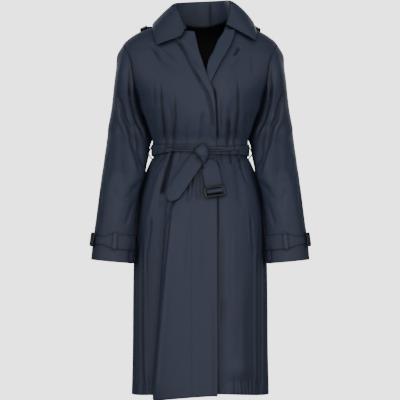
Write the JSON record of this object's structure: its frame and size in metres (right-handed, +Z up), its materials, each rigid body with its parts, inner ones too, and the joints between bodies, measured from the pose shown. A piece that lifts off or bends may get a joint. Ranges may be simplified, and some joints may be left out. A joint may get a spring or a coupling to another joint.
{
  "type": "hooded trench coat",
  "caption": "Knee-length belted trench coat in dark navy cloth, hollow as when worn, with a shirt collar, fly front, knotted belt, buckled cuff straps and a laid-back hood.",
  "frame": {"origin": "on the neck's axis at the height of the neck points, where the shoulder seams meet the collar", "axes": "+Z up, the front faces -Y, +X is the wearer's left"},
  "size_m": [0.6596, 0.3347, 1.1924],
  "materials": {
    "shell": "dark navy, tightly woven, slightly glossy nylon taffeta",
    "lining": "matt black lining",
    "buckle": "dark navy moulded plastic, satin gloss",
    "metal": "bright nickel-plated cord end"
  },
  "bodies": {
    "root": {"back": "shell", "back_lining": "lining", "belt_band": "shell", "belt_buckle": "buckle", "belt_knot": "shell", "belt_loop_left": "shell", "belt_loop_right": "shell", "belt_tail_buckle": "shell", "belt_tail_plain": "shell", "collar_fall": "shell", "collar_stand": "shell", "cuff_buckle_left": "buckle", "cuff_buckle_right": "buckle", "cuff_loop_left": "shell", "cuff_loop_right": "shell", "cuff_strap_left": "shell", "cuff_strap_right": "shell", "hood_left": "shell", "hood_right": "shell", "hood_stopper_left": "metal", "hood_stopper_right": "metal", "left_facing": "shell", "left_front": "shell", "left_sleeve": "shell", "right_front": "shell", "right_sleeve": "shell"}
  },
  "joints": []
}
